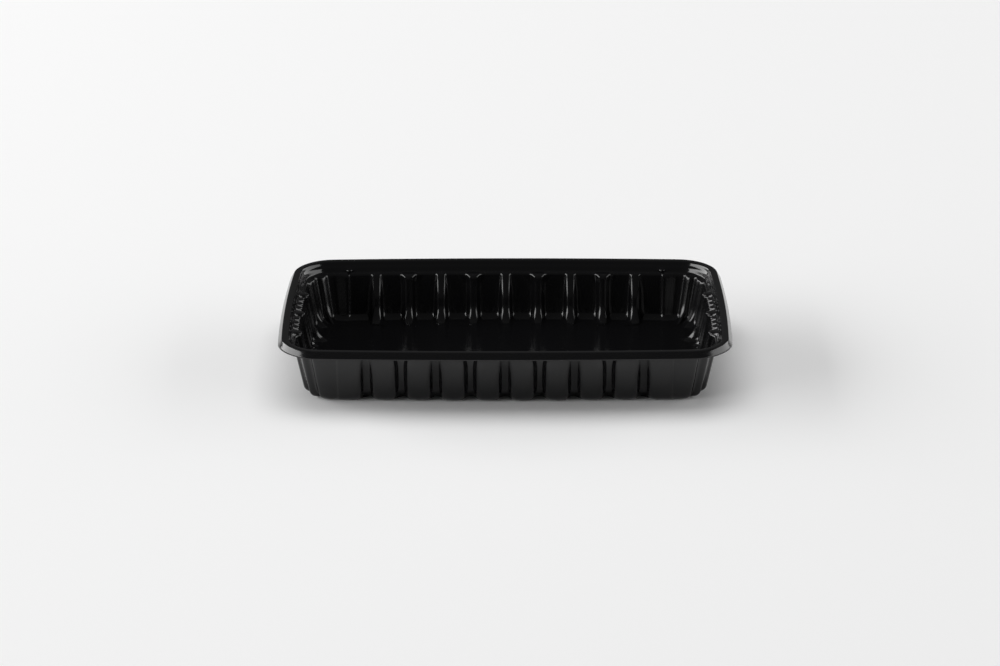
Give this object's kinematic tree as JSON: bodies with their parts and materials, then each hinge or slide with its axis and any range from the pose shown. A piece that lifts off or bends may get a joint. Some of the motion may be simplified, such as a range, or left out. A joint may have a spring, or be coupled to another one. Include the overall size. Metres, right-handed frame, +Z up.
{
  "type": "meat tray",
  "caption": "Long rounded rectangular thermoformed tray with a flat sealing rim, ribbed side walls, fluted corners and a flat floor.",
  "frame": {"origin": "under the middle of the floor, on the surface that the tray stands on", "axes": "+X along the tray's long side, +Y across it, +Z up out of the tray"},
  "size_m": [0.3324, 0.2034, 0.045],
  "materials": {
    "black_plastic": "glossy black thermoformed plastic"
  },
  "bodies": {
    "root": {"tray": "black_plastic"}
  },
  "joints": []
}
